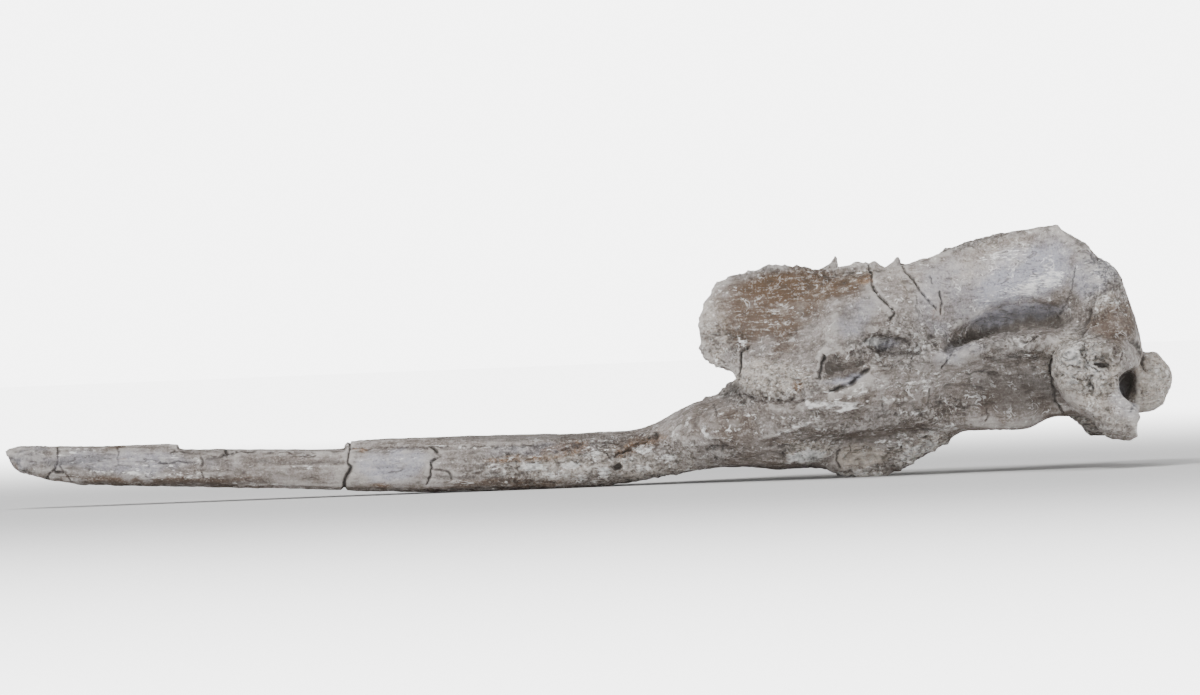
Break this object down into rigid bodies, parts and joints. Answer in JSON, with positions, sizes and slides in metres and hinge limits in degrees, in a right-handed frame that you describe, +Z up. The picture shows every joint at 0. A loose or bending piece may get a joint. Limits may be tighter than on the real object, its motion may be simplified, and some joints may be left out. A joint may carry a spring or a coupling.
{
  "type": "fossil dolphin skull",
  "caption": "Fossil skull of a long-snouted crested dolphin, lying on its palate, with bony crests over the face and deep temple hollows.",
  "frame": {"origin": "middle of the skull's box, on the ground it lies on", "axes": "-X along the snout, +X towards the neck, -Y the animal's left side, +Z up"},
  "size_m": [0.7, 0.186, 0.1447],
  "materials": {
    "bone": "matte"
  },
  "bodies": {
    "root": {"skull": "bone"}
  },
  "joints": []
}
